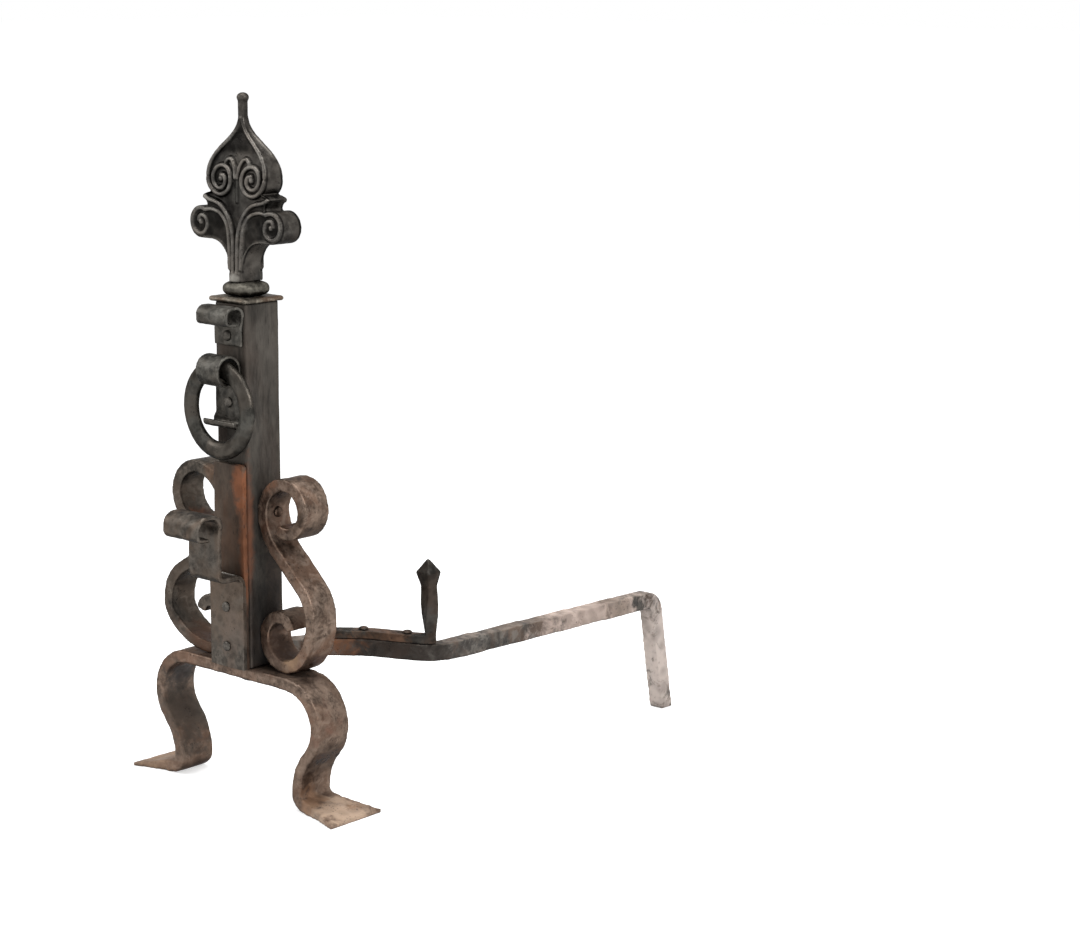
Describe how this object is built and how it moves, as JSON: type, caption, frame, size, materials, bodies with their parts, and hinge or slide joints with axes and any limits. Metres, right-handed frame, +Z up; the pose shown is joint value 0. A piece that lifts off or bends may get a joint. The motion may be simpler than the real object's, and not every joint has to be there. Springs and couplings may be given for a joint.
{
  "type": "andiron",
  "caption": "Forged iron andiron: square post on a bent two-legged foot, leaf finial, S scrolls, hanging ring, rolled hooks and an offset billet bar with a rear leg.",
  "frame": {"origin": "on the floor, at the middle of the whole footprint", "axes": "+Z up, +Y from the front post back into the fireplace, +X to the right of someone who faces the front"},
  "size_m": [0.279, 0.5732, 0.66],
  "materials": {
    "black_iron": "blackened, worn on the edges",
    "post_iron": "dark forge scale with rust in places",
    "brown_iron": "brown patina with orange rust inside the curls",
    "worn_iron": "hammered grey with light edges",
    "ash_iron": "fire-burnt, mottled with pale ash and scale"
  },
  "bodies": {
    "body": {"foot_arch": "brown_iron", "post": "post_iron", "cap_plate": "worn_iron", "collar": "black_iron", "finial": "black_iron", "scroll_left": "brown_iron", "scroll_right": "brown_iron", "upper_hook": "worn_iron", "ring_strap": "worn_iron", "front_strap": "post_iron", "hook_bracket": "worn_iron", "billet_bar": "ash_iron", "guard": "black_iron", "upper_hook_rivet": "worn_iron", "ring_strap_rivet": "worn_iron", "bracket_rivet_lower": "worn_iron", "bracket_rivet_upper": "worn_iron", "scroll_rivet_left": "worn_iron", "scroll_rivet_right": "worn_iron", "arch_rivet_left": "worn_iron", "arch_rivet_right": "worn_iron", "guard_rivet_front": "worn_iron", "guard_rivet_rear": "worn_iron"},
    "ring": {"ring": "black_iron"}
  },
  "joints": [
    {"name": "ring_swing", "type": "hinge", "parent": "body", "child": "ring", "pos_m": [0.0015, -0.2364, 0.40905], "axis": [-1, 0, 0], "range_deg": [-3, 150]}
  ]
}
